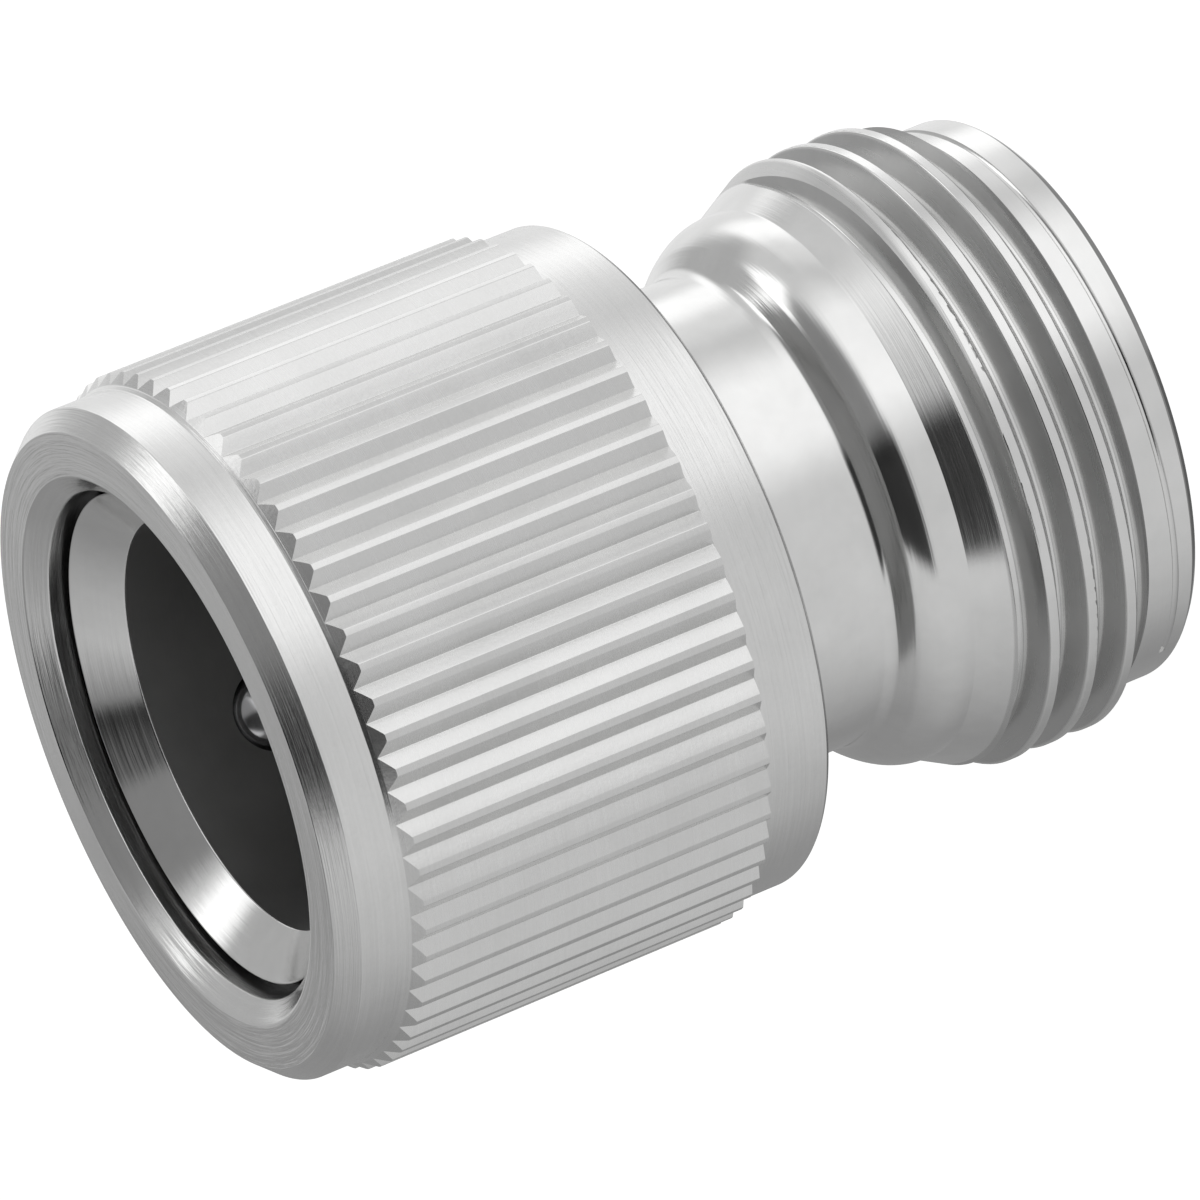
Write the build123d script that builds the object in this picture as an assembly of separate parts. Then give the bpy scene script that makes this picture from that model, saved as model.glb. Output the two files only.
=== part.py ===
from build123d import *
from math import atan2, cos, pi, radians, sin, sqrt, tan
import os

# A ball-lock quick coupling: a turned socket body with a male pipe thread at one end,
# a knurled sleeve that slides on it against a spring, and balls that lock the plug.
# The part stands on its threaded end. Z is the axis and +Z points out of the socket's mouth.
# Depths are measured down from the sleeve's front face, radii from the axis, in millimetres.

# Whole part
overall_length = 40.9
sleeve_length = 22.2

# Fits between the pieces
slide_clearance = 0.06
ball_clearance = 0.03
seat_gap = 0.03

# Walls and steps outwards from the axis, each measured from the one before
waterway_radius = 6.8
seal_bore_step = 0.8
socket_step = 1.12
nose_wall = 1.7
spring_room = 2.53
sleeve_wall = 1.3

# Sleeve, outside
face_chamfer = 0.77
knurl_height = 0.53
knurl_teeth = 64
knurl_start_depth = 3.1
knurl_length = 16.1
knurl_end_chamfer = 0.3
knurl_flat_share = 0.32
knurl_phase = -86.6
relief_groove_width = 0.24
relief_groove_depth = 0.08
sleeve_edge_break = 0.12

# Sleeve, inside
mouth_gap = 0.36
mouth_countersink_width = 0.82
mouth_countersink_depth = 0.72
stop_land_thickness = 0.8
stop_land_depth = 3.2
spring_seat_room = 0.15
spring_seat_thickness = 1.15
spring_seat_gap = 0.38

# Socket end of the body
nose_depth = 1.45
nose_edge_width = 0.08
socket_depth = 14.4

# Locking balls
ball_count = 6
ball_radius = 2.0
ball_depth = 8.3
ball_stand_in = 0.48
ball_seat_taper = 0.13
ball_travel = 0.56
sleeve_travel = 2.0
first_ball_angle = 90.0

# Snap ring that keeps the sleeve on the body
ring_thickness = 0.7
ring_radial_width = 0.72
ring_proud = 0.24
ring_open_angle = 12.0

# Seal inside the socket
seal_height = 2.0
seal_radial_width = 1.9
seal_lip_bevel = 0.5
seal_depth = 15.3
seal_proud = 0.33
seal_bore_end_depth = 18.6

# Spring of flat wire and the flange behind it
spring_wire_width = 1.4
spring_wire_height = 0.9
spring_turns = 3.5
flange_depth = 19.8
flange_thickness = 1.6
flange_chamfer = 0.2

# Neck and shoulder
neck_relief = 0.3
shoulder_rise = 1.74
foot_rise = 0.75
foot_angle = 50.0
shoulder_round = 1.2
shoulder_angle = 35.0
neck_length = 7.8
shoulder_land = 0.5
collar_angle = 28.0

# Pipe thread, 3/4 inch parallel, 14 threads to the inch
thread_rise = 0.2
thread_height = 1.16
thread_pitch = 25.4 / 14
thread_flank_angle = 27.5
thread_crest_flat = 0.42
thread_start_gap = 1.22
thread_start_angle = 20.0
thread_half_turns = 9
thread_length = 5.7
thread_end_chamfer_angle = 45.0
pilot_rise = 0.11
pilot_chamfer = 0.3

# Outlet at the threaded end
outlet_wall = 2.97
outlet_length = 7.5
outlet_chamfer = 0.3

# Radii that follow from the steps above
seal_bore_radius = waterway_radius + seal_bore_step
socket_radius = seal_bore_radius + socket_step
nose_radius = socket_radius + nose_wall
chamber_radius = nose_radius + spring_room
band_radius = chamber_radius + sleeve_wall
neck_radius = nose_radius - neck_relief
shoulder_radius = neck_radius + shoulder_rise
thread_root_radius = shoulder_radius + thread_rise
thread_major_radius = thread_root_radius + thread_height
pilot_radius = thread_root_radius + pilot_rise
outlet_radius = pilot_radius - outlet_wall
face_outer_radius = band_radius - face_chamfer
knurl_radius = band_radius + knurl_height
mouth_bore_radius = nose_radius + mouth_gap
mouth_radius = mouth_bore_radius + mouth_countersink_width
spring_seat_radius = nose_radius + spring_seat_gap
spring_radius = (nose_radius + chamber_radius) / 2
flange_radius = chamber_radius - slide_clearance
ring_outer_radius = nose_radius + ring_proud
ring_inner_radius = ring_outer_radius - ring_radial_width
seal_inner_radius = seal_bore_radius - seal_proud
seal_outer_radius = seal_inner_radius + seal_radial_width
ball_rest_radius = socket_radius - ball_stand_in + ball_radius

# Depths that follow from the lengths above
knurl_end_depth = knurl_start_depth + knurl_length
pocket_depth = stop_land_depth + stop_land_thickness
ring_rear_depth = stop_land_depth - seat_gap
ring_front_depth = ring_rear_depth - ring_thickness
seat_front_depth = ball_depth + ball_radius + spring_seat_room
spring_seat_depth = seat_front_depth + spring_seat_thickness
shoulder_depth = sleeve_length + neck_length
collar_depth = shoulder_depth + shoulder_land
collar_end_depth = collar_depth + (thread_major_radius - shoulder_radius) / tan(radians(collar_angle))
thread_start_depth = collar_depth + thread_start_gap
thread_end_depth = thread_start_depth + thread_length
outlet_depth = overall_length - outlet_length

# Slope of the sleeve's locking cone, which turns its travel into the balls' travel
lock_slope = ball_travel / sleeve_travel
lock_angle = atan2(ball_travel, sleeve_travel)
lock_radius = ball_rest_radius + (ball_radius + ball_clearance) / cos(lock_angle)


def level(depth):
    """Height above the threaded end of a point at this depth below the sleeve's front face."""
    return overall_length - depth


def turned(points):
    """Solid turned about the axis from an outline of (radius, height) points."""
    outline = Polyline(*[(radius, 0, height) for radius, height in points], close=True)
    return revolve(make_face(outline), Axis.Z)


def lock_cone_radius(depth):
    """Radius of the sleeve's locking cone, which presses the balls inwards at rest."""
    return lock_radius - lock_slope * (depth - ball_depth)


def sleeve_core():
    """Sleeve without its knurl: chamfered front, locking cone, spring chamber."""
    front = level(0)
    rear = level(sleeve_length)
    pocket_end_depth = ball_depth - (chamber_radius - lock_radius) / lock_slope
    front_groove = knurl_start_depth - relief_groove_width
    rear_groove = knurl_end_depth + relief_groove_width / 2
    groove_radius = band_radius - relief_groove_depth
    return turned([
        (mouth_radius, front),
        (face_outer_radius, front),
        (band_radius, level(band_radius - face_outer_radius)),
        (band_radius, level(front_groove)),
        (groove_radius, level(front_groove)),
        (groove_radius, level(knurl_start_depth)),
        (groove_radius, level(rear_groove)),
        (band_radius, level(rear_groove)),
        (band_radius, rear + sleeve_edge_break),
        (band_radius - sleeve_edge_break, rear),
        (chamber_radius + sleeve_edge_break, rear),
        (chamber_radius, rear + sleeve_edge_break),
        (chamber_radius, level(spring_seat_depth)),
        (spring_seat_radius, level(spring_seat_depth)),
        (spring_seat_radius, level(seat_front_depth)),
        (lock_cone_radius(seat_front_depth), level(seat_front_depth)),
        (chamber_radius, level(pocket_end_depth)),
        (chamber_radius, level(pocket_depth)),
        (nose_radius + slide_clearance, level(pocket_depth)),
        (nose_radius + slide_clearance, level(stop_land_depth)),
        (mouth_bore_radius, level(stop_land_depth)),
        (mouth_bore_radius, level(mouth_countersink_depth)),
    ])


def knurl_band():
    """Ring of straight ridges with V grooves between them, chamfered at both ends."""
    pitch = 360 / knurl_teeth
    land = pitch * knurl_flat_share
    corners = []
    for tooth in range(knurl_teeth):
        valley = knurl_phase + tooth * pitch
        for radius, angle in (
            (band_radius, valley),
            (knurl_radius, valley + (pitch - land) / 2),
            (knurl_radius, valley + (pitch + land) / 2),
        ):
            corners.append((radius * cos(radians(angle)), radius * sin(radians(angle))))
    toothed = Pos(0, 0, level(knurl_end_depth)) * extrude(
        make_face(Polyline(*corners, close=True)), knurl_length)
    land_radius = knurl_radius * cos(radians(land / 2))
    first_valley = Rot(0, 0, knurl_phase)
    chamfered = loft([
        Pos(0, 0, level(depth)) * (first_valley * flat_sided(radius))
        for depth, radius in (
            (knurl_end_depth, band_radius),
            (knurl_end_depth - knurl_end_chamfer, land_radius),
            (knurl_start_depth + knurl_end_chamfer, land_radius),
            (knurl_start_depth, band_radius),
        )
    ], ruled=True)
    inside = Pos(0, 0, level(knurl_end_depth)) * Cylinder(
        band_radius - sleeve_wall / 2, knurl_length, align=(Align.CENTER, Align.CENTER, Align.MIN))
    return (toothed & chamfered) - inside


def flat_sided(radius):
    """Face with one flat side for each ridge of the knurl, at this distance from the axis."""
    corner_radius = radius / cos(pi / knurl_teeth)
    corners = []
    for side in range(knurl_teeth):
        angle = 2 * pi * side / knurl_teeth
        corners.append((corner_radius * cos(angle), corner_radius * sin(angle)))
    return make_face(Polyline(*corners, close=True))


def sleeve():
    return sleeve_core() + knurl_band()


def thread_groove_pieces():
    """Half turns of the helical groove between the threads, from the socket side to the end."""
    depth = thread_major_radius - thread_root_radius
    beyond = thread_crest_flat / 2
    half_crest_gap = (thread_pitch - thread_crest_flat) / 2
    half_root = half_crest_gap - depth * tan(radians(thread_flank_angle))
    half_outer = half_crest_gap + beyond * tan(radians(thread_flank_angle))
    helix = Helix(thread_pitch, thread_pitch / 2, thread_root_radius)
    start = Plane(origin=helix @ 0, x_dir=(1, 0, 0), z_dir=helix % 0)
    section = start * make_face(Polyline(
        (0, -half_root), (depth + beyond, -half_outer),
        (depth + beyond, half_outer), (0, half_root), close=True))
    half_turn = sweep(section, path=helix, is_frenet=True)
    for count in range(1, thread_half_turns + 1):
        lower_end = level(thread_start_depth) - count * thread_pitch / 2
        yield Pos(0, 0, lower_end) * (Rot(0, 0, thread_start_angle - count * 180) * half_turn)


def body_blank():
    """Turned body with its full bore and without the ball holes and the thread."""
    arc_start_radius = shoulder_radius - shoulder_round * (1 - cos(radians(shoulder_angle)))
    arc_start_depth = shoulder_depth - shoulder_round * sin(radians(shoulder_angle))
    half_angle = radians(shoulder_angle / 2)
    arc_mid_radius = shoulder_radius - shoulder_round * (1 - cos(half_angle))
    arc_mid_depth = shoulder_depth - shoulder_round * sin(half_angle)
    foot_radius = neck_radius + foot_rise
    foot_end = arc_start_depth - (arc_start_radius - foot_radius) / tan(radians(shoulder_angle))
    foot_start = foot_end - foot_rise / tan(radians(foot_angle))
    flange_end = flange_depth + flange_thickness
    thread_fall = (thread_major_radius - pilot_radius) / tan(radians(thread_end_chamfer_angle))
    cone_end_depth = nose_depth + nose_radius - nose_edge_width - socket_radius
    groove_top = seal_depth - seat_gap
    groove_bottom = seal_depth + seal_height + seat_gap
    groove_radius = seal_outer_radius + seat_gap

    def at(radius, depth):
        return (radius, 0, level(depth))

    upper = Polyline(
        at(nose_radius - nose_edge_width, nose_depth),
        at(nose_radius, nose_depth + nose_edge_width),
        at(nose_radius, flange_depth),
        at(flange_radius - flange_chamfer, flange_depth),
        at(flange_radius, flange_depth + flange_chamfer),
        at(flange_radius, flange_end - flange_chamfer),
        at(flange_radius - flange_chamfer, flange_end),
        at(neck_radius, flange_end),
        at(neck_radius, foot_start),
        at(foot_radius, foot_end),
        at(arc_start_radius, arc_start_depth),
    )
    shoulder = ThreePointArc(
        at(arc_start_radius, arc_start_depth),
        at(arc_mid_radius, arc_mid_depth),
        at(shoulder_radius, shoulder_depth),
    )
    lower = Polyline(
        at(shoulder_radius, shoulder_depth),
        at(shoulder_radius, collar_depth),
        at(thread_major_radius, collar_end_depth),
        at(thread_major_radius, thread_end_depth),
        at(pilot_radius, thread_end_depth + thread_fall),
        at(pilot_radius, overall_length - pilot_chamfer),
        at(pilot_radius - pilot_chamfer, overall_length),
        at(outlet_radius + outlet_chamfer, overall_length),
        at(outlet_radius, overall_length - outlet_chamfer),
        at(outlet_radius, outlet_depth),
        at(waterway_radius, outlet_depth - (outlet_radius - waterway_radius)),
        at(waterway_radius, seal_bore_end_depth),
        at(seal_bore_radius, seal_bore_end_depth),
        at(seal_bore_radius, groove_bottom),
        at(groove_radius, groove_bottom),
        at(groove_radius, groove_top),
        at(seal_bore_radius, groove_top),
        at(seal_bore_radius, socket_depth),
        at(socket_radius, socket_depth),
        at(socket_radius, cone_end_depth),
        at(nose_radius - nose_edge_width, nose_depth),
    )
    return revolve(make_face(upper + shoulder + lower), Axis.Z)


def ball_angle(index):
    return first_ball_angle + index * 360 / ball_count


def ball_hole(index):
    """Radial hole that narrows towards the socket, so that its ball can't fall in."""
    seat_radius = (ball_radius + ball_clearance) * sqrt(1 + ball_seat_taper ** 2)
    start = socket_radius - ball_radius / 2
    end = nose_radius + ball_radius / 2
    taper = Pos(0, 0, start) * Cone(
        seat_radius + (start - ball_rest_radius) * ball_seat_taper,
        seat_radius + (end - ball_rest_radius) * ball_seat_taper,
        end - start, align=(Align.CENTER, Align.CENTER, Align.MIN))
    outward = Rot(0, 90, 0) * taper
    return Pos(0, 0, level(ball_depth)) * (Rot(0, 0, ball_angle(index)) * outward)


def ring_groove():
    beyond = nose_radius + ring_proud
    return turned([
        (ring_inner_radius - seat_gap, level(ring_front_depth - seat_gap)),
        (beyond, level(ring_front_depth - seat_gap)),
        (beyond, level(ring_rear_depth + seat_gap)),
        (ring_inner_radius - seat_gap, level(ring_rear_depth + seat_gap)),
    ])


def body():
    solid = body_blank() - ring_groove()
    for groove in thread_groove_pieces():
        solid -= groove
    for index in range(ball_count):
        solid -= ball_hole(index)
    return solid


def retaining_ring():
    """Open snap ring in the nose groove, which the sleeve's stop land rests against."""
    section = make_face(Polyline(
        (ring_inner_radius, 0, level(ring_rear_depth)),
        (ring_outer_radius, 0, level(ring_rear_depth)),
        (ring_outer_radius, 0, level(ring_front_depth)),
        (ring_inner_radius, 0, level(ring_front_depth)), close=True))
    opening_angle = first_ball_angle + ring_open_angle / 2
    return Rot(0, 0, opening_angle) * revolve(section, Axis.Z, 360 - ring_open_angle)


def socket_seal():
    """Rubber ring with a bevelled inner lip, in its groove in the seal bore."""
    return turned([
        (seal_inner_radius, level(seal_depth + seal_lip_bevel)),
        (seal_inner_radius + seal_lip_bevel, level(seal_depth)),
        (seal_outer_radius, level(seal_depth)),
        (seal_outer_radius, level(seal_depth + seal_height)),
        (seal_inner_radius + seal_lip_bevel, level(seal_depth + seal_height)),
        (seal_inner_radius, level(seal_depth + seal_height - seal_lip_bevel)),
    ])


def sleeve_spring():
    """Coil spring of flat wire with ground ends, between the body's flange and the sleeve's seat."""
    lower_end = level(flange_depth) + seat_gap
    upper_end = level(spring_seat_depth) - seat_gap
    coil_height = upper_end - lower_end - spring_wire_height / 2
    helix = Helix(coil_height / spring_turns, coil_height, spring_radius)
    start = Plane(origin=helix @ 0, x_dir=(1, 0, 0), z_dir=helix % 0)
    wire = start * Rectangle(spring_wire_width, spring_wire_height)
    coil = sweep(wire, path=helix, is_frenet=True)
    coil = Pos(0, 0, lower_end + spring_wire_height / 4) * coil
    slab = Pos(0, 0, lower_end) * Cylinder(
        chamber_radius, upper_end - lower_end, align=(Align.CENTER, Align.CENTER, Align.MIN))
    return coil & slab


def locking_ball(index):
    angle = radians(ball_angle(index))
    centre = (ball_rest_radius * cos(angle), ball_rest_radius * sin(angle), level(ball_depth))
    return Pos(*centre) * Sphere(ball_radius)


pieces = {
    "body": body(),
    "sleeve": sleeve(),
    "retaining_ring": retaining_ring(),
    "socket_seal": socket_seal(),
    "sleeve_spring": sleeve_spring(),
}
for index in range(ball_count):
    pieces[f"locking_ball_{index + 1}"] = locking_ball(index)

os.makedirs("parts", exist_ok=True)
for name, piece in pieces.items():
    export_step(piece, f"parts/{name}.step")
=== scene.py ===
import math

import bmesh
import bpy
from mathutils import Matrix, Vector


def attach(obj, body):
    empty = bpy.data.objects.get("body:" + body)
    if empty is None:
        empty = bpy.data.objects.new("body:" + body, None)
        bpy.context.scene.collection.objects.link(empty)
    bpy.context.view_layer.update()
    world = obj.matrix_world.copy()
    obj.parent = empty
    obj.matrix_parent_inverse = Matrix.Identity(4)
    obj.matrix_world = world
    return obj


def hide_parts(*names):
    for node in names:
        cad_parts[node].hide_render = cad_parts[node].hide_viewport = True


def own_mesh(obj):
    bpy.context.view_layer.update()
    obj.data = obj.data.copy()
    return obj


# A ball-lock quick coupling in bright nickel plate: a turned socket body with a male pipe
# thread, a knurled sleeve that slides on it, six locking balls, a spring, a snap ring and a seal.
# Lengths are in millimetres until a piece is finished. Sizes named only for a place on the part
# are radii from the axis, and those that end in DEPTH, FRONT, REAR, START or END are depths below
# the sleeve's front face, if nothing else is said.

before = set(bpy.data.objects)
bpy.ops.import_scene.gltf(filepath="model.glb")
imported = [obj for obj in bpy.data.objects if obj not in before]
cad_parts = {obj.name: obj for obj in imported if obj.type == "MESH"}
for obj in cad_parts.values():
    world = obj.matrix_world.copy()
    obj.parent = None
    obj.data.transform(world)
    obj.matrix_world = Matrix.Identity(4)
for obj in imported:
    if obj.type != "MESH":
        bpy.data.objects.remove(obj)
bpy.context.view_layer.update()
scene = bpy.context.scene
MM = 0.001
TURN = 2 * math.pi

# ---- Camera, where the photograph was taken from ----

LENS = 359.81
SENSOR = 36.0
NEAREST = 0.01
FARTHEST = 50
CAMERA_PLACE = (-0.92, -447.19, 201.60)
CAMERA_RIGHT = Vector((-0.377039, -0.346484, -0.858947))
CAMERA_UP = Vector((0.926196, -0.141048, -0.349663))
CAMERA_BACK = Vector((0.0, -0.927390, 0.374093))


def make_camera():
    lens = bpy.data.cameras.new("camera")
    lens.lens = LENS
    lens.sensor_width = SENSOR
    lens.clip_start = NEAREST
    lens.clip_end = FARTHEST
    camera = bpy.data.objects.new("camera", lens)
    turn = Matrix((CAMERA_RIGHT, CAMERA_UP, CAMERA_BACK)).transposed()
    camera.matrix_world = Matrix.Translation(Vector(CAMERA_PLACE) * MM) @ turn.to_4x4()
    scene.collection.objects.link(camera)
    scene.camera = camera


make_camera()

# ---- Sizes ----
# They are the CAD's, but for the knurl and the flare, which keep closer to the photograph.

OVERALL = 40.9
# Gap round the balls, the snap ring, the seal and the spring
PLAY = 0.03

# Sleeve, outside
SLEEVE_LENGTH = 22.2
BAND = 14.25
FACE_INNER = 11.6
FACE_OUTER = 13.48
FACE_CHAMFER_END = BAND - FACE_OUTER + 0.08
REAR_CHAMFER_WIDTH = 0.12
REAR_CHAMFER_LENGTH = 0.14
BAND_EDGE_WIDTH = 0.06
BAND_EDGE_LENGTH = 0.1

# Knurl, whose phase is where its first valley stands
TEETH = 64
KNURL_FLOOR = 14.38
KNURL_HEIGHT = 0.41
KNURL_START = 2.98
KNURL_END = 19.2
KNURL_CONE_LENGTH = 0.2
KNURL_RUN_IN = 0.43
KNURL_RUN_OUT = 0.06
KNURL_PHASE = math.radians(-86.6)
LAND_SHARE = 0.2
# Keeps the valleys' points from falling on one another
SLIVER = 0.003

# Sleeve, inside
MOUTH = 10.78
MOUTH_CONE_END = 0.72
STOP_FRONT = 3.2
STOP_REAR = 4.0
STOP_GAP = 0.06
CHAMBER = 12.95
LOCK_RADIUS = 12.348
LOCK_SLOPE = 0.28
SEAT_GAP = 0.38
SEAT_FRONT = 10.45
SEAT_REAR = 11.6
SLEEVE_TRAVEL = 2.0

# Body, outside
NOSE = 10.42
NOSE_FRONT = 1.37
GROOVE = 9.91
GROOVE_FRONT = 2.44
GROOVE_REAR = 3.2
FLANGE = CHAMBER - 0.06
FLANGE_FRONT = 19.8
FLANGE_REAR = 21.4
NECK = 10.12
SHOULDER = 11.86
FOOT_DEPTH = 27.579
FOOT_END_RADIUS = 11.0
FOOT_ANGLE = math.radians(50)
# From the foot the flare bends over in short steps of these slopes, in degrees
FLARE_STEP = 0.125
FLARE_TILTS = [43, 41, 39, 37, 35, 33, 31, 29, 26, 23, 20, 17, 14, 11, 8, 5, 3, 1]
COLLAR_DEPTH = 30.5
COLLAR_ANGLE = math.radians(28)
PILOT = 12.17
END_CHAMFER = 0.3

# Pipe thread
THREAD_MAJOR = 13.22
THREAD_ROOT = 12.06
THREAD_PITCH = 25.4 / 14
THREAD_FLANK = math.radians(27.5)
THREAD_CREST = 0.42
THREAD_TOP_DEPTH = 31.72
THREAD_TOP_ANGLE = math.radians(20)
THREAD_TURNS = 4.5
THREAD_END_DEPTH = 37.42
# Along its first turn the groove rises out of the metal and gets wider
RISE = 1.25
RISE_RUN = math.radians(70)
WIDENING = 0.12
WIDENING_END = math.radians(340)
WIDENING_FADE = math.radians(140)
# Share of the pitch on either side of the groove's middle that belongs to one turn of it
TURN_REACH = 0.48

# Body, inside
SOCKET = 8.72
SOCKET_CONE_END = 3.07
SOCKET_END = 14.4
SEAL_BORE = 7.6
SEAL_GROOVE = 9.2
SEAL_FRONT = 15.27
SEAL_REAR = 17.33
THROAT = 6.8
THROAT_FRONT = 18.6
THROAT_REAR = 31.0
OUTLET = 9.2
OUTLET_FRONT = 33.4

# Balls, and their tapered holes
BALL_COUNT = 6
BALL_RADIUS = 2.0
BALL_PLACE = 10.24
BALL_DEPTH = 8.3
BALL_TAPER = 0.13
FIRST_BALL = 90
HOLE_OVERSHOOT = 0.9

# Snap ring, seal and spring
RING_OUTER = 10.66
RING_EDGE = 0.1
RING_GAP = math.radians(12)
RING_START = math.radians(96)
SEAL_LIP = 7.27
SEAL_LIP_ROUNDING = 0.62
SEAL_EDGE = 0.2
WIRE_WIDTH = 1.4
WIRE_HEIGHT = 0.9
WIRE_EDGE = 0.12
SPRING_TURNS = 3.5

# Fineness of the meshes, and distances at which two points count as one
ROUNDING_SEGMENTS = 3
LONGEST_EDGE = 2.5
BODY_STEPS = 256
SEAL_STEPS = 160
RING_STEPS = 200
THREAD_STEPS_PER_TURN = 120
SPRING_STEPS_PER_TURN = 90
HOLE_STEPS = 64
BALL_SUBDIVISIONS = 5
NEAR = 0.001
MERGE = 1e-4
MERGE_AFTER_CUTS = 2e-4
CUT_TOLERANCE = 1e-5

# Edges over these angles, in degrees, stay sharp
SHARP = 32
SHARP_ON_KNURL = 25
ALL_SMOOTH = 180


def level(depth):
    """Height of a point at this depth below the sleeve's front face."""
    return OVERALL - depth


# ---- Mesh helpers ----


def rounded_profile(mesh, corners):
    """Closed outline of (radius, height, rounding) corners in the XZ plane, as edges only."""
    points = [mesh.verts.new((radius, 0, height)) for radius, height, _ in corners]
    mesh.faces.new(points)
    roundings = {}
    for point, (_, _, rounding) in zip(points, corners):
        if rounding:
            roundings.setdefault(rounding, []).append(point)
    for rounding, group in roundings.items():
        bmesh.ops.bevel(mesh, geom=group, offset=rounding, segments=ROUNDING_SEGMENTS,
                        profile=0.5, affect="VERTICES", material=-1, clamp_overlap=True)
    bmesh.ops.delete(mesh, geom=mesh.faces[:], context="FACES_ONLY")


def rounded_box(mesh, inner, outer, heights, inner_rounding, outer_rounding):
    """Outline of a ring's section, between two radii and two heights."""
    first, last = heights
    rounded_profile(mesh, [(inner, first, inner_rounding), (outer, first, outer_rounding),
                           (outer, last, outer_rounding), (inner, last, inner_rounding)])


def split_long_edges(mesh, longest):
    """Cuts the outline's edges so that none is much longer than this."""
    for edge in mesh.edges[:]:
        cuts = int(edge.calc_length() / longest)
        if cuts:
            bmesh.ops.subdivide_edges(mesh, edges=[edge], cuts=cuts)


def spun(mesh, angle, steps, rise=0.0, closed=False):
    """Sweeps the outline round the axis, and along it by the rise."""
    bmesh.ops.spin(mesh, geom=mesh.verts[:] + mesh.edges[:], cent=(0, 0, 0), axis=(0, 0, 1),
                   dvec=(0, 0, rise / steps), angle=angle, steps=steps, use_merge=closed)


def turned(mesh, steps):
    """Spins the outline once round the axis and closes it."""
    spun(mesh, TURN, steps, closed=True)
    bmesh.ops.remove_doubles(mesh, verts=mesh.verts[:], dist=MERGE)
    bmesh.ops.recalc_face_normals(mesh, faces=mesh.faces[:])


def close_ends(mesh):
    """Fills the two open ends of a sweep."""
    bmesh.ops.holes_fill(mesh, edges=[e for e in mesh.edges if e.is_boundary], sides=0)
    bmesh.ops.recalc_face_normals(mesh, faces=mesh.faces[:])


def finished(mesh, name, sharp=SHARP):
    """Object from a mesh, shaded smooth up to an angle in degrees."""
    data = bpy.data.meshes.new(name)
    mesh.to_mesh(data)
    mesh.free()
    piece = bpy.data.objects.new(name, data)
    scene.collection.objects.link(piece)
    shade(piece, sharp)
    return piece


def shade(piece, sharp):
    for face in piece.data.polygons:
        face.use_smooth = True
    piece.data.set_sharp_from_angle(angle=math.radians(sharp))


def flatten_big_faces(piece):
    """Turns the shading of big faces' corners straight out, so that only the roundings curve."""
    modifier = piece.modifiers.new("flatten", "WEIGHTED_NORMAL")
    modifier.keep_sharp = True
    modifier.weight = 100
    keep_result(piece)


def keep_result(piece):
    """Makes the result of the piece's modifiers its mesh."""
    depsgraph = bpy.context.evaluated_depsgraph_get()
    result = bpy.data.meshes.new_from_object(piece.evaluated_get(depsgraph))
    piece.modifiers.clear()
    piece.data = result


def cut(piece, tools):
    """Takes the tools' volumes out of the piece, removes the tools and merges split points."""
    for tool in tools:
        modifier = piece.modifiers.new("cut", "BOOLEAN")
        modifier.operation = "DIFFERENCE"
        modifier.solver = "EXACT"
        modifier.object = tool
    keep_result(piece)
    for tool in tools:
        bpy.data.objects.remove(tool)
    clean = bmesh.new()
    clean.from_mesh(piece.data)
    bmesh.ops.remove_doubles(clean, verts=clean.verts[:], dist=MERGE_AFTER_CUTS)
    bmesh.ops.dissolve_degenerate(clean, edges=clean.edges[:], dist=MERGE_AFTER_CUTS)
    clean.to_mesh(piece.data)
    clean.free()


def to_metres(piece):
    piece.data.transform(Matrix.Scale(MM, 4))


# ---- Sleeve ----

# Stops across one ridge, from valley to valley: share of the pitch, share of the height
FLANK = (1 - LAND_SHARE) / 2
RIDGE = [
    (0, 0),
    (0.02, 0.03),
    (FLANK * 0.5, 0.5),
    (FLANK - 0.02, 0.95),
    (FLANK + 0.015, 0.995),
    (0.5, 1),
    (1 - FLANK - 0.015, 0.995),
    (1 - FLANK + 0.02, 0.95),
    (1 - FLANK * 0.5, 0.5),
    (0.98, 0.03),
]


def shape_ridges(mesh):
    """Moves the knurl's rows of points in to the V grooves, and its ends back along the run-in."""
    pitch = TURN / TEETH
    stops = len(RIDGE)
    for point in mesh.verts:
        radius = math.hypot(point.co.x, point.co.y)
        depth = OVERALL - point.co.z
        if radius < KNURL_FLOOR - NEAR or not KNURL_START - NEAR < depth < KNURL_END + NEAR:
            continue
        turn = math.atan2(point.co.y, point.co.x) - KNURL_PHASE
        step = round(turn / (pitch / stops))
        share, height = RIDGE[step % stops]
        angle = KNURL_PHASE + (step // stops + share) * pitch
        if radius > KNURL_FLOOR + NEAR:
            radius = KNURL_FLOOR + KNURL_HEIGHT * height + SLIVER
            if depth < (KNURL_START + KNURL_END) / 2:
                point.co.z = level(KNURL_START + KNURL_RUN_IN * height + SLIVER)
            else:
                point.co.z = level(KNURL_END - KNURL_RUN_OUT * height - SLIVER)
        point.co.x = radius * math.cos(angle)
        point.co.y = radius * math.sin(angle)


def sharpen_ring(piece, height):
    """Marks the edges that run round the piece at this height as sharp."""
    points = piece.data.vertices
    for edge in piece.data.edges:
        if all(abs(points[end].co.z - height) < NEAR for end in edge.vertices):
            edge.use_edge_sharp = True


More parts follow.
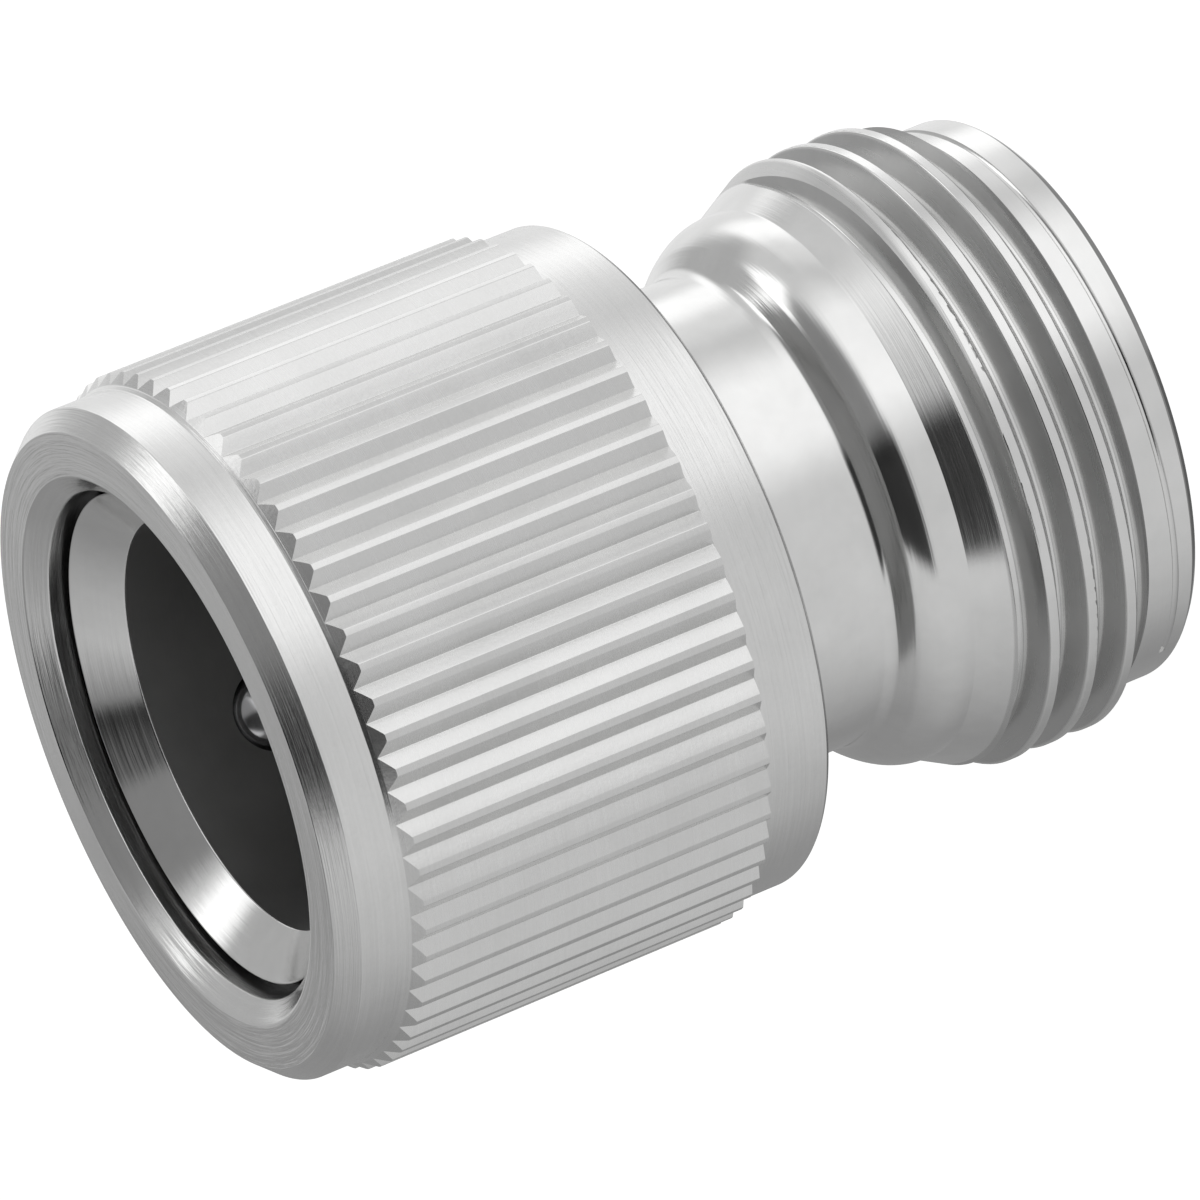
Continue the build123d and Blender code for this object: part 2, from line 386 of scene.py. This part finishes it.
def make_sleeve():
    mesh = bmesh.new()
    knurl = KNURL_FLOOR + KNURL_HEIGHT
    seat = NOSE + SEAT_GAP
    stop = NOSE + STOP_GAP
    lock_start = BALL_DEPTH - (CHAMBER - LOCK_RADIUS) / LOCK_SLOPE
    lock_end_radius = LOCK_RADIUS - LOCK_SLOPE * (SEAT_FRONT - BALL_DEPTH)
    rounded_profile(mesh, [
        (FACE_INNER, level(0), 0.06),
        (FACE_OUTER, level(0), 0.03),
        (BAND, level(FACE_CHAMFER_END), 0.03),
        (BAND, level(KNURL_START - KNURL_CONE_LENGTH), 0.04),
        (KNURL_FLOOR, level(KNURL_START), 0),
        (knurl, level(KNURL_START + KNURL_RUN_IN), 0),
        (knurl, level(KNURL_END - KNURL_RUN_OUT), 0),
        (KNURL_FLOOR, level(KNURL_END), 0),
        (BAND - BAND_EDGE_WIDTH, level(KNURL_END), 0),
        (BAND, level(KNURL_END + BAND_EDGE_LENGTH), 0.03),
        (BAND, level(SLEEVE_LENGTH - REAR_CHAMFER_LENGTH), 0.04),
        (BAND - REAR_CHAMFER_WIDTH, level(SLEEVE_LENGTH), 0.04),
        (CHAMBER, level(SLEEVE_LENGTH), 0.1),
        (CHAMBER, level(SEAT_REAR), 0.05),
        (seat, level(SEAT_REAR), 0.05),
        (seat, level(SEAT_FRONT), 0.05),
        (lock_end_radius, level(SEAT_FRONT), 0.05),
        (CHAMBER, level(lock_start), 0.1),
        (CHAMBER, level(STOP_REAR), 0.1),
        (stop, level(STOP_REAR), 0.03),
        (stop, level(STOP_FRONT), 0.03),
        (MOUTH, level(STOP_FRONT), 0.05),
        (MOUTH, level(MOUTH_CONE_END), 0.05),
    ])
    turned(mesh, TEETH * len(RIDGE))
    shape_ridges(mesh)
    piece = finished(mesh, "sleeve_ring", SHARP_ON_KNURL)
    sharpen_ring(piece, level(KNURL_START))
    flatten_big_faces(piece)
    to_metres(piece)
    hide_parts("sleeve")
    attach(piece, "sleeve")
    return piece


# ---- Body ----


def make_thread_cutter():
    """Helical groove with a rounded root and flared edges that round the crests."""
    mesh = bmesh.new()
    crest_gap = (THREAD_PITCH - THREAD_CREST) / 2
    slope = math.tan(THREAD_FLANK)

    def half_width(radius):
        return crest_gap - (THREAD_MAJOR - radius) * slope

    # The root's rounding, the straight flank, the crest's rounding, and what stands outside
    side = [
        (THREAD_ROOT, half_width(THREAD_ROOT) * 0.55),
        (THREAD_ROOT + 0.05, half_width(THREAD_ROOT + 0.05)),
        (THREAD_MAJOR - 0.06, half_width(THREAD_MAJOR - 0.06)),
        (THREAD_MAJOR - 0.022, half_width(THREAD_MAJOR - 0.03) + 0.012),
        (THREAD_MAJOR + 0.002, half_width(THREAD_MAJOR) + 0.05),
        (THREAD_MAJOR + 0.12, half_width(THREAD_MAJOR) + 0.07),
    ]
    top = level(THREAD_TOP_DEPTH)
    corners = [(radius, top - half) for radius, half in side]
    corners += [(radius, top + half) for radius, half in reversed(side)]
    start = Matrix.Rotation(THREAD_TOP_ANGLE, 3, "Z")
    points = [mesh.verts.new(start @ Vector((radius, 0, height))) for radius, height in corners]
    mesh.faces.new(points)
    bmesh.ops.delete(mesh, geom=mesh.faces[:], context="FACES_ONLY")
    spun(mesh, -TURN * THREAD_TURNS, int(THREAD_TURNS * THREAD_STEPS_PER_TURN),
         rise=-THREAD_PITCH * THREAD_TURNS)
    lift_out(mesh, top)
    close_ends(mesh)
    return finished(mesh, "thread_cutter")


def lift_out(mesh, top):
    """Widens the first turn towards the collar, and raises its start out of the metal."""
    lead = THREAD_PITCH / TURN
    for point in mesh.verts:
        angle = math.atan2(point.co.y, point.co.x)
        along = (THREAD_TOP_ANGLE - angle) % TURN
        middle = top - along * lead
        if abs(point.co.z - middle) > THREAD_PITCH * TURN_REACH:
            continue
        if point.co.z > middle:
            share = min(1, max(0, (WIDENING_END - along) / WIDENING_FADE))
            point.co.z += WIDENING * share * share * (3 - 2 * share)
        if along < RISE_RUN:
            rise = RISE * (1 - along / RISE_RUN) ** 2
            radius = math.hypot(point.co.x, point.co.y)
            point.co.x *= (radius + rise) / radius
            point.co.y *= (radius + rise) / radius


def ball_angle(index):
    return math.radians(FIRST_BALL + index * 360 / BALL_COUNT)


def make_ball_hole_cutters():
    """Radial tapered plugs, one for each ball."""
    hole = (BALL_RADIUS + PLAY) * math.sqrt(1 + BALL_TAPER ** 2)
    start = SOCKET - HOLE_OVERSHOOT
    end = NOSE + HOLE_OVERSHOOT
    mesh = bmesh.new()
    for index in range(BALL_COUNT):
        place = (Matrix.Rotation(ball_angle(index), 4, "Z")
                 @ Matrix.Translation(((start + end) / 2, 0, level(BALL_DEPTH)))
                 @ Matrix.Rotation(math.radians(90), 4, "Y"))
        bmesh.ops.create_cone(mesh, cap_ends=True, segments=HOLE_STEPS, depth=end - start,
                              radius1=hole + (start - BALL_PLACE) * BALL_TAPER,
                              radius2=hole + (end - BALL_PLACE) * BALL_TAPER, matrix=place)
    return finished(mesh, "ball_hole_cutters")


def flare_corners():
    """Corners of the flare, from the neck to where its last step ends."""
    radius = FOOT_END_RADIUS
    depth = FOOT_DEPTH + (FOOT_END_RADIUS - NECK) / math.tan(FOOT_ANGLE)
    corners = [(NECK, level(FOOT_DEPTH), 0.35), (radius, level(depth), 0.1)]
    for tilt in FLARE_TILTS:
        radius += FLARE_STEP * math.sin(math.radians(tilt))
        depth += FLARE_STEP * math.cos(math.radians(tilt))
        corners.append((radius, level(depth), 0))
    return corners


def make_body():
    mesh = bmesh.new()
    collar_end = COLLAR_DEPTH + (THREAD_MAJOR - SHOULDER) / math.tan(COLLAR_ANGLE)
    rounded_profile(mesh, [
        (NOSE, level(NOSE_FRONT), 0.14),
        (NOSE, level(GROOVE_FRONT), 0.03),
        (GROOVE, level(GROOVE_FRONT), 0),
        (GROOVE, level(GROOVE_REAR), 0),
        (NOSE, level(GROOVE_REAR), 0.03),
        (NOSE, level(FLANGE_FRONT), 0.1),
        (FLANGE, level(FLANGE_FRONT), 0.15),
        (FLANGE, level(FLANGE_REAR), 0.15),
        (NECK, level(FLANGE_REAR), 0.1),
        *flare_corners(),
        (SHOULDER, level(COLLAR_DEPTH), 0.03),
        (THREAD_MAJOR, level(collar_end), 0.1),
        (THREAD_MAJOR, level(THREAD_END_DEPTH), 0.04),
        (PILOT, level(THREAD_END_DEPTH + THREAD_MAJOR - PILOT), 0.03),
        (PILOT, level(OVERALL - END_CHAMFER), 0.08),
        (PILOT - END_CHAMFER, level(OVERALL), 0.05),
        (OUTLET + END_CHAMFER, level(OVERALL), 0.05),
        (OUTLET, level(OVERALL - END_CHAMFER), 0.05),
        (OUTLET, level(OUTLET_FRONT), 0.05),
        (THROAT, level(THROAT_REAR), 0.05),
        (THROAT, level(THROAT_FRONT), 0.05),
        (SEAL_BORE, level(THROAT_FRONT), 0),
        (SEAL_BORE, level(SEAL_REAR), 0.05),
        (SEAL_GROOVE, level(SEAL_REAR), 0.05),
        (SEAL_GROOVE, level(SEAL_FRONT), 0.05),
        (SEAL_BORE, level(SEAL_FRONT), 0.05),
        (SEAL_BORE, level(SOCKET_END), 0.05),
        (SOCKET, level(SOCKET_END), 0.05),
        (SOCKET, level(SOCKET_CONE_END), 0.06),
    ])
    split_long_edges(mesh, LONGEST_EDGE)
    turned(mesh, BODY_STEPS)
    piece = finished(mesh, "socket_body")
    cut(piece, [make_thread_cutter(), make_ball_hole_cutters()])
    shade(piece, SHARP)
    flatten_big_faces(piece)
    to_metres(piece)
    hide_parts("body")
    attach(piece, "socket_body")
    return piece


# ---- Small pieces ----


def make_ball(index):
    mesh = bmesh.new()
    bmesh.ops.create_icosphere(mesh, subdivisions=BALL_SUBDIVISIONS, radius=BALL_RADIUS)
    angle = ball_angle(index)
    place = (BALL_PLACE * math.cos(angle), BALL_PLACE * math.sin(angle), level(BALL_DEPTH))
    bmesh.ops.translate(mesh, vec=place, verts=mesh.verts[:])
    piece = finished(mesh, f"steel_ball_{index + 1}", ALL_SMOOTH)
    to_metres(piece)
    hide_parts(f"locking_ball_{index + 1}")
    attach(piece, f"ball_{index + 1}")
    return piece


def make_snap_ring():
    """Flat open ring with rounded edges."""
    mesh = bmesh.new()
    heights = level(GROOVE_REAR - PLAY), level(GROOVE_FRONT + PLAY)
    rounded_box(mesh, GROOVE + PLAY, RING_OUTER, heights, RING_EDGE, RING_EDGE)
    bmesh.ops.rotate(mesh, cent=(0, 0, 0), matrix=Matrix.Rotation(RING_START, 3, "Z"),
                     verts=mesh.verts[:])
    spun(mesh, TURN - RING_GAP, RING_STEPS)
    close_ends(mesh)
    piece = finished(mesh, "snap_ring")
    to_metres(piece)
    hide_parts("retaining_ring")
    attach(piece, "socket_body")
    return piece


def make_seal():
    """Rubber ring with rounded lips."""
    mesh = bmesh.new()
    heights = level(SEAL_FRONT + PLAY), level(SEAL_REAR - PLAY)
    rounded_box(mesh, SEAL_LIP, SEAL_GROOVE - PLAY, heights, SEAL_LIP_ROUNDING, SEAL_EDGE)
    turned(mesh, SEAL_STEPS)
    piece = finished(mesh, "seal_ring")
    to_metres(piece)
    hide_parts("socket_seal")
    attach(piece, "socket_body")
    return piece


def make_spring():
    """Coil of flat wire with ground ends."""
    mesh = bmesh.new()
    low, high = level(FLANGE_FRONT) + PLAY, level(SEAT_REAR) - PLAY
    radius = (NOSE + CHAMBER) / 2
    # The ends are cut through a quarter and three quarters of the wire's height
    start = low + WIRE_HEIGHT / 4
    heights = start - WIRE_HEIGHT / 2, start + WIRE_HEIGHT / 2
    rounded_box(mesh, radius - WIRE_WIDTH / 2, radius + WIRE_WIDTH / 2, heights, WIRE_EDGE,
                WIRE_EDGE)
    spun(mesh, TURN * SPRING_TURNS, int(SPRING_TURNS * SPRING_STEPS_PER_TURN),
         rise=high - low - WIRE_HEIGHT / 2)
    for end, up in ((low, -1), (high, 1)):
        bmesh.ops.bisect_plane(mesh, geom=mesh.verts[:] + mesh.edges[:] + mesh.faces[:],
                               dist=CUT_TOLERANCE, plane_co=(0, 0, end), plane_no=(0, 0, up),
                               clear_outer=True)
    close_ends(mesh)
    piece = finished(mesh, "coil_spring")
    to_metres(piece)
    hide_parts("sleeve_spring")
    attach(piece, "socket_body")
    shorter = (high - low - SLEEVE_TRAVEL) / (high - low)
    low * MM
    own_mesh(piece)
    return piece


# ---- Shader maths ----


class Value:
    """A socket in a node tree, with arithmetic that adds Math nodes."""

    def __init__(self, tree, socket):
        self.tree = tree
        self.socket = socket

    def __add__(self, other):
        return maths(self.tree, "ADD", self, other)

    __radd__ = __add__

    def __sub__(self, other):
        return maths(self.tree, "SUBTRACT", self, other)

    def __rsub__(self, other):
        return maths(self.tree, "SUBTRACT", other, self)

    def __mul__(self, other):
        return maths(self.tree, "MULTIPLY", self, other)

    __rmul__ = __mul__

    def __pow__(self, other):
        return maths(self.tree, "POWER", self, other)


def node(tree, kind, settings=None, inputs=None, output=0):
    """Adds one node: its settings first, then the values or links of its sockets."""
    made = tree.nodes.new(kind)
    for name, value in (settings or {}).items():
        setattr(made, name, value)
    for name, value in (inputs or {}).items():
        socket = made.inputs[name]
        if isinstance(value, Value):
            tree.links.new(value.socket, socket)
        else:
            socket.default_value = value
    return Value(tree, made.outputs[output])


def maths(tree, operation, *values):
    """Adds a Math node on these values or numbers."""
    return node(tree, "ShaderNodeMath", {"operation": operation}, dict(enumerate(values)))


def soft_step(value, low, high):
    """Smooth rise from 0 to 1 as the value goes from low to high, a fall if low is larger."""
    return node(value.tree, "ShaderNodeMapRange", {"interpolation_type": "SMOOTHSTEP"},
                {"Value": value, "From Min": low, "From Max": high})


def above(value, limit, fade):
    """1 above the limit, going to 0 over the fade on both sides of it."""
    return soft_step(value, limit - fade, limit + fade)


def below(value, limit, fade):
    """1 below the limit, going to 0 over the fade on both sides of it."""
    return soft_step(value, limit + fade, limit - fade)


def window(value, low, high, fade):
    """1 between low and high, going to 0 over the fade on both sides of each."""
    return above(value, low, fade) * below(value, high, fade)


def depth_window(height, front, rear, fade):
    """1 between two depths below the sleeve's front face."""
    return window(height, level(rear), level(front), fade)


def split(tree, vector):
    parts = node(tree, "ShaderNodeSeparateXYZ", inputs={"Vector": vector})
    outputs = parts.socket.node.outputs
    return [Value(tree, outputs[axis]) for axis in "XYZ"]


def joined(tree, x, y, z):
    return node(tree, "ShaderNodeCombineXYZ", inputs={"X": x, "Y": y, "Z": z})


def noise(tree, vector, scale, detail, roughness=0.5):
    return node(tree, "ShaderNodeTexNoise", inputs={
        "Vector": vector, "Scale": scale, "Detail": detail, "Roughness": roughness})


# ---- Finishes ----

PER_METRE = 1000
# How fast a turning line changes on its way round
LINE_CHANGE = 15
# How its place follows the radius: a value of 1 would leave 45 degree chamfers without lines
LINE_TILT = -0.4
BUMP_DEPTH = 0.0001

DARK_NICKEL = (0.66, 0.66, 0.655)
LIGHT_NICKEL = (0.93, 0.93, 0.925)
SHADE = (0.08, 0.08, 0.08)
DARK_STEEL = (0.68, 0.68, 0.69)
LIGHT_STEEL = (0.76, 0.76, 0.77)
DARK_WIRE = (0.42, 0.42, 0.43)
LIGHT_WIRE = (0.58, 0.58, 0.59)
DARK_RUBBER = (0.012, 0.012, 0.012)
LIGHT_RUBBER = (0.03, 0.03, 0.03)


def start_material(name, metallic):
    material = bpy.data.materials.new(name)
    material.use_nodes = True
    tree = material.node_tree
    shader = tree.nodes["Principled BSDF"]
    shader.inputs["Metallic"].default_value = metallic
    place = node(tree, "ShaderNodeTexCoord", output="Object")
    return material, tree, shader, place


def feed(shader, name, value):
    shader.id_data.links.new(value.socket, shader.inputs[name])


def bumped(tree, shader, height, strength):
    normal = node(tree, "ShaderNodeBump", inputs={
        "Height": height, "Strength": strength, "Distance": BUMP_DEPTH})
    feed(shader, "Normal", normal)


def grey_mix(tree, factor, dark, light):
    """Colour between two nearly neutral colours, of which the first can be another node's.

    The numbers are those of the Mix node's sockets for colours: factor, two colours, result.
    """
    first = dark if isinstance(dark, Value) else (*dark, 1)
    return node(tree, "ShaderNodeMix", {"data_type": "RGBA"},
                {0: factor, 6: first, 7: (*light, 1)}, output=2)


def round_axis(tree, place):
    """Distance from the axis and height, in millimetres."""
    x, y, z = split(tree, place)
    return (x * x + y * y) ** 0.5 * PER_METRE, z * PER_METRE


def turning_lines(tree, place, scale):
    """Fine lines that run round the axis on rings, cones and flat faces."""
    x, y, z = split(tree, place)
    line = (x * x + y * y) ** 0.5 * LINE_TILT + z
    stretched = joined(tree, x * LINE_CHANGE, y * LINE_CHANGE, line * PER_METRE)
    return noise(tree, stretched, scale, detail=3.0, roughness=0.6)


def plated_body():
    """Bright plate, rougher in the socket, on the nose and on the thread's flanks, where painted
    shade also darkens the colour.
    """
    material, tree, shader, place = start_material("bright_nickel", metallic=1.0)
    radius, height = round_axis(tree, place)
    inside = below(radius, SOCKET + 0.28, 0.08)
    inside = inside * depth_window(height, SOCKET_CONE_END + 0.03, SOCKET_END + 0.1, 0.08)
    nose = window(radius, NOSE - 0.05, NOSE + 0.1, 0.04)
    nose = nose * depth_window(height, NOSE_FRONT + 0.08, FLANGE_REAR + 0.6, 0.08)
    flank = window(radius, THREAD_ROOT + 0.15, THREAD_MAJOR - 0.1, 0.04)
    flank = flank * depth_window(height, THREAD_TOP_DEPTH + 0.13, THREAD_END_DEPTH + 0.98, 0.05)
    lines = turning_lines(tree, place, scale=9.0)
    cloud = noise(tree, place, scale=260.0, detail=3.0)
    stain = noise(tree, place, scale=700.0, detail=4.0, roughness=0.6)
    metal = grey_mix(tree, 0.6 * cloud + 0.4 * stain, DARK_NICKEL, LIGHT_NICKEL)
    # Painted shade: the colour darkens in the socket, on the nose in the sleeve's gap and in the
    # thread's grooves.
    painted_shade = inside * 0.5 + nose * 0.45 + flank * 0.28
    rough = 0.07 + lines * 0.08 + cloud * 0.05
    rough = rough + inside * 0.3 + nose * 0.15 + flank * 0.15
    feed(shader, "Base Color", grey_mix(tree, painted_shade, metal, SHADE))
    feed(shader, "Roughness", rough)
    bumped(tree, shader, lines + 0.4 * stain, strength=0.045)
    return material


def plated_sleeve():
    """Satin plate with turning lines, grainy and a little darker on the knurl, with painted shade
    darkening the bore.
    """
    material, tree, shader, place = start_material("satin_nickel", metallic=1.0)
    radius, height = round_axis(tree, place)
    knurl = depth_window(height, KNURL_START, KNURL_END, 0.03)
    front = above(height, level(1.0), 0.1)
    bore = below(radius, 11.0, 0.05) * below(height, level(0.8), 0.05)
    lines = turning_lines(tree, place, scale=9.0)
    fine = turning_lines(tree, place, scale=22.0)
    cloud = noise(tree, place, scale=320.0, detail=3.0)
    grain = noise(tree, place, scale=5200.0, detail=3.0, roughness=0.65)
    mottled = 0.45 * cloud + 0.35 * lines + 0.2 * grain
    metal = grey_mix(tree, mottled, DARK_NICKEL, LIGHT_NICKEL)
    rings = (lines + fine * 0.4) * (1 - knurl * 0.9) * (1 + front * 0.4)
    # Painted shade darkens the bore; the knurl is a little darker too.
    feed(shader, "Base Color", grey_mix(tree, bore * 0.38 + knurl * 0.04, metal, SHADE))
    feed(shader, "Roughness", 0.12 + lines * 0.1 + cloud * 0.05 + knurl * 0.07)
    bumped(tree, shader, rings + grain * (0.12 + knurl * 0.22), strength=0.16)
    return material


def ball_steel():
    material, tree, shader, place = start_material("ball_steel", metallic=1.0)
    cloud = noise(tree, place, scale=900.0, detail=2.0)
    feed(shader, "Roughness", 0.16 + cloud * 0.08)
    feed(shader, "Base Color", grey_mix(tree, cloud, DARK_STEEL, LIGHT_STEEL))
    return material


def spring_wire():
    material, tree, shader, place = start_material("spring_wire", metallic=1.0)
    lines = turning_lines(tree, place, scale=20.0)
    feed(shader, "Roughness", 0.25 + lines * 0.2)
    feed(shader, "Base Color", grey_mix(tree, lines, DARK_WIRE, LIGHT_WIRE))
    bumped(tree, shader, lines, strength=0.1)
    return material


def seal_rubber():
    material, tree, shader, place = start_material("seal_rubber", metallic=0.0)
    grain = noise(tree, place, scale=2500.0, detail=3.0)
    feed(shader, "Base Color", grey_mix(tree, grain, DARK_RUBBER, LIGHT_RUBBER))
    feed(shader, "Roughness", 0.5 + grain * 0.25)
    bumped(tree, shader, grain, strength=0.1)
    return material


# ---- Studio ----

DEGREES = 180 / math.pi
FLOOR_HALF = 20000
FLOOR_GLOW = 0.9
WHITE = (1, 1, 1, 1)
MID_GREY = (0.5, 0.5, 0.5, 1)


def make_studio_light():
    """A light tent: grey walls with soft boxes and dark cards, before a white background.

    Each has its place by two angles in degrees: the side, which goes round the part's axis
    with 0 towards the camera and 90 towards the picture's top, and the height above the floor.
    """
    world = bpy.data.worlds.new("light_tent")
    scene.world = world
    world.use_nodes = True
    tree = world.node_tree
    background = tree.nodes["Background"]
    x, y, z = split(tree, node(tree, "ShaderNodeTexCoord", output="Generated"))
    side = maths(tree, "ARCTAN2", x, y * -1) * DEGREES
    height = maths(tree, "ARCSINE", z) * DEGREES

    def box(strength, sides, heights):
        """Light in a range of sides and a range of heights, each with its fade last."""
        return strength * window(side, *sides) * window(height, *heights)

    # Walls, darker behind the part on the picture's lower side
    wall = 0.3 + 0.27 * above(side, -112, 32) + 0.1 * above(side, -75, 20)
    # Soft boxes: a wide one between the camera and the picture's top, a narrow and a dim one
    # past the top, and a small one higher up
    wall = wall + box(0.45, (12, 70, 16), (-34, 28, 7))
    wall = wall + box(0.4, (110, 134, 8), (-34, 2, 6))
    wall = wall + box(0.2, (90, 175, 8), (-34, 2, 6))
    wall = wall + box(0.75, (90, 117, 4), (26, 48, 3))
    # The tent's roof is dark, and reaches lower on the camera's side
    over_camera = window(side, 0, 88, 8)
    wall = wall - 0.42 * over_camera * above(height, 32, 6)
    wall = wall - 0.45 * above(height, 60, 8) * (1 - over_camera)
    # Dark cards behind and beside the camera, and darker ground
    wall = wall - 0.2 * above(side, 114, 8) * window(height, 8, 58, 6)
    card = above(side, -50, 5) * below(side, 11.5, 8.5) * window(height, 24, 71, 4)
    wall = wall * (1 - card * 0.95) * (1 - 0.6 * below(height, -38, 6))

    seen = node(tree, "ShaderNodeLightPath", output="Is Camera Ray")
    strength = wall * (1 - seen) + seen
    tree.links.new(strength.socket, background.inputs["Strength"])
    background.inputs["Color"].default_value = WHITE


def make_floor():
    """Pale floor that glows white to the camera and isn't mirrored in the metal."""
    mesh = bmesh.new()
    bmesh.ops.create_grid(mesh, x_segments=1, y_segments=1, size=FLOOR_HALF)
    floor = finished(mesh, "floor")
    to_metres(floor)
    material = bpy.data.materials.new("pale_floor")
    material.use_nodes = True
    tree = material.node_tree
    shader = tree.nodes["Principled BSDF"]
    shader.inputs["Base Color"].default_value = MID_GREY
    shader.inputs["Roughness"].default_value = 0.9
    shader.inputs["Specular IOR Level"].default_value = 0.0
    shader.inputs["Emission Color"].default_value = WHITE
    seen = node(tree, "ShaderNodeLightPath", output="Is Camera Ray")
    feed(shader, "Emission Strength", seen * FLOOR_GLOW)
    floor.data.materials.append(material)
    floor.visible_glossy = False


# ---- Making it all ----

body = make_body()
sleeve = make_sleeve()
balls = [make_ball(index) for index in range(BALL_COUNT)]
ring = make_snap_ring()
seal = make_seal()
spring = make_spring()

body.data.materials.append(plated_body())
sleeve.data.materials.append(plated_sleeve())
steel = ball_steel()
for ball in balls:
    ball.data.materials.append(steel)
wire = spring_wire()
ring.data.materials.append(wire)
spring.data.materials.append(wire)
seal.data.materials.append(seal_rubber())

make_studio_light()
make_floor()

scene.view_settings.view_transform = "Standard"
